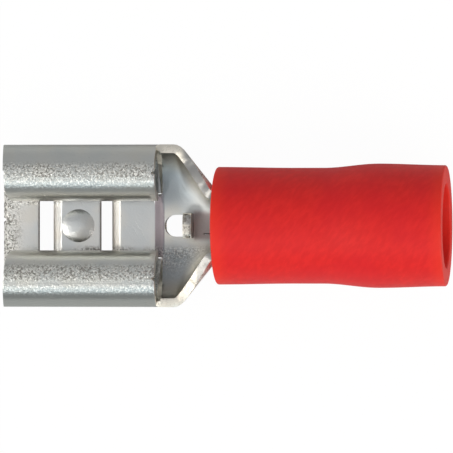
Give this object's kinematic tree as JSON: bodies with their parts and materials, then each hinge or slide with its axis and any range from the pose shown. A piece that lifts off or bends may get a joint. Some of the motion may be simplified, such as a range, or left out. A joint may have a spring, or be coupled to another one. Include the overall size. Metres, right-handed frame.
{
  "type": "female spade terminal",
  "caption": "Push-on receptacle for a flat 6.3 mm tab, folded from tinned brass sheet, with a crimp barrel for the wire inside a flared red insulating sleeve.",
  "frame": {"origin": "middle of the tab slot, at its mouth", "axes": "+X runs from the tab slot along the wire axis to the open rear of the sleeve, +Y across the rolls, +Z towards the side on which the rolls and the barrel close"},
  "size_m": [0.0207, 0.0074, 0.0057],
  "materials": {
    "tin_plated_brass": "semi-gloss bright tin plate over brass, with fine pits and sheared edges",
    "red_vinyl": "soft satin red vinyl with a faint mottled grain"
  },
  "bodies": {
    "root": {"receptacle_terminal": "tin_plated_brass", "insulating_sleeve": "red_vinyl"}
  },
  "joints": []
}
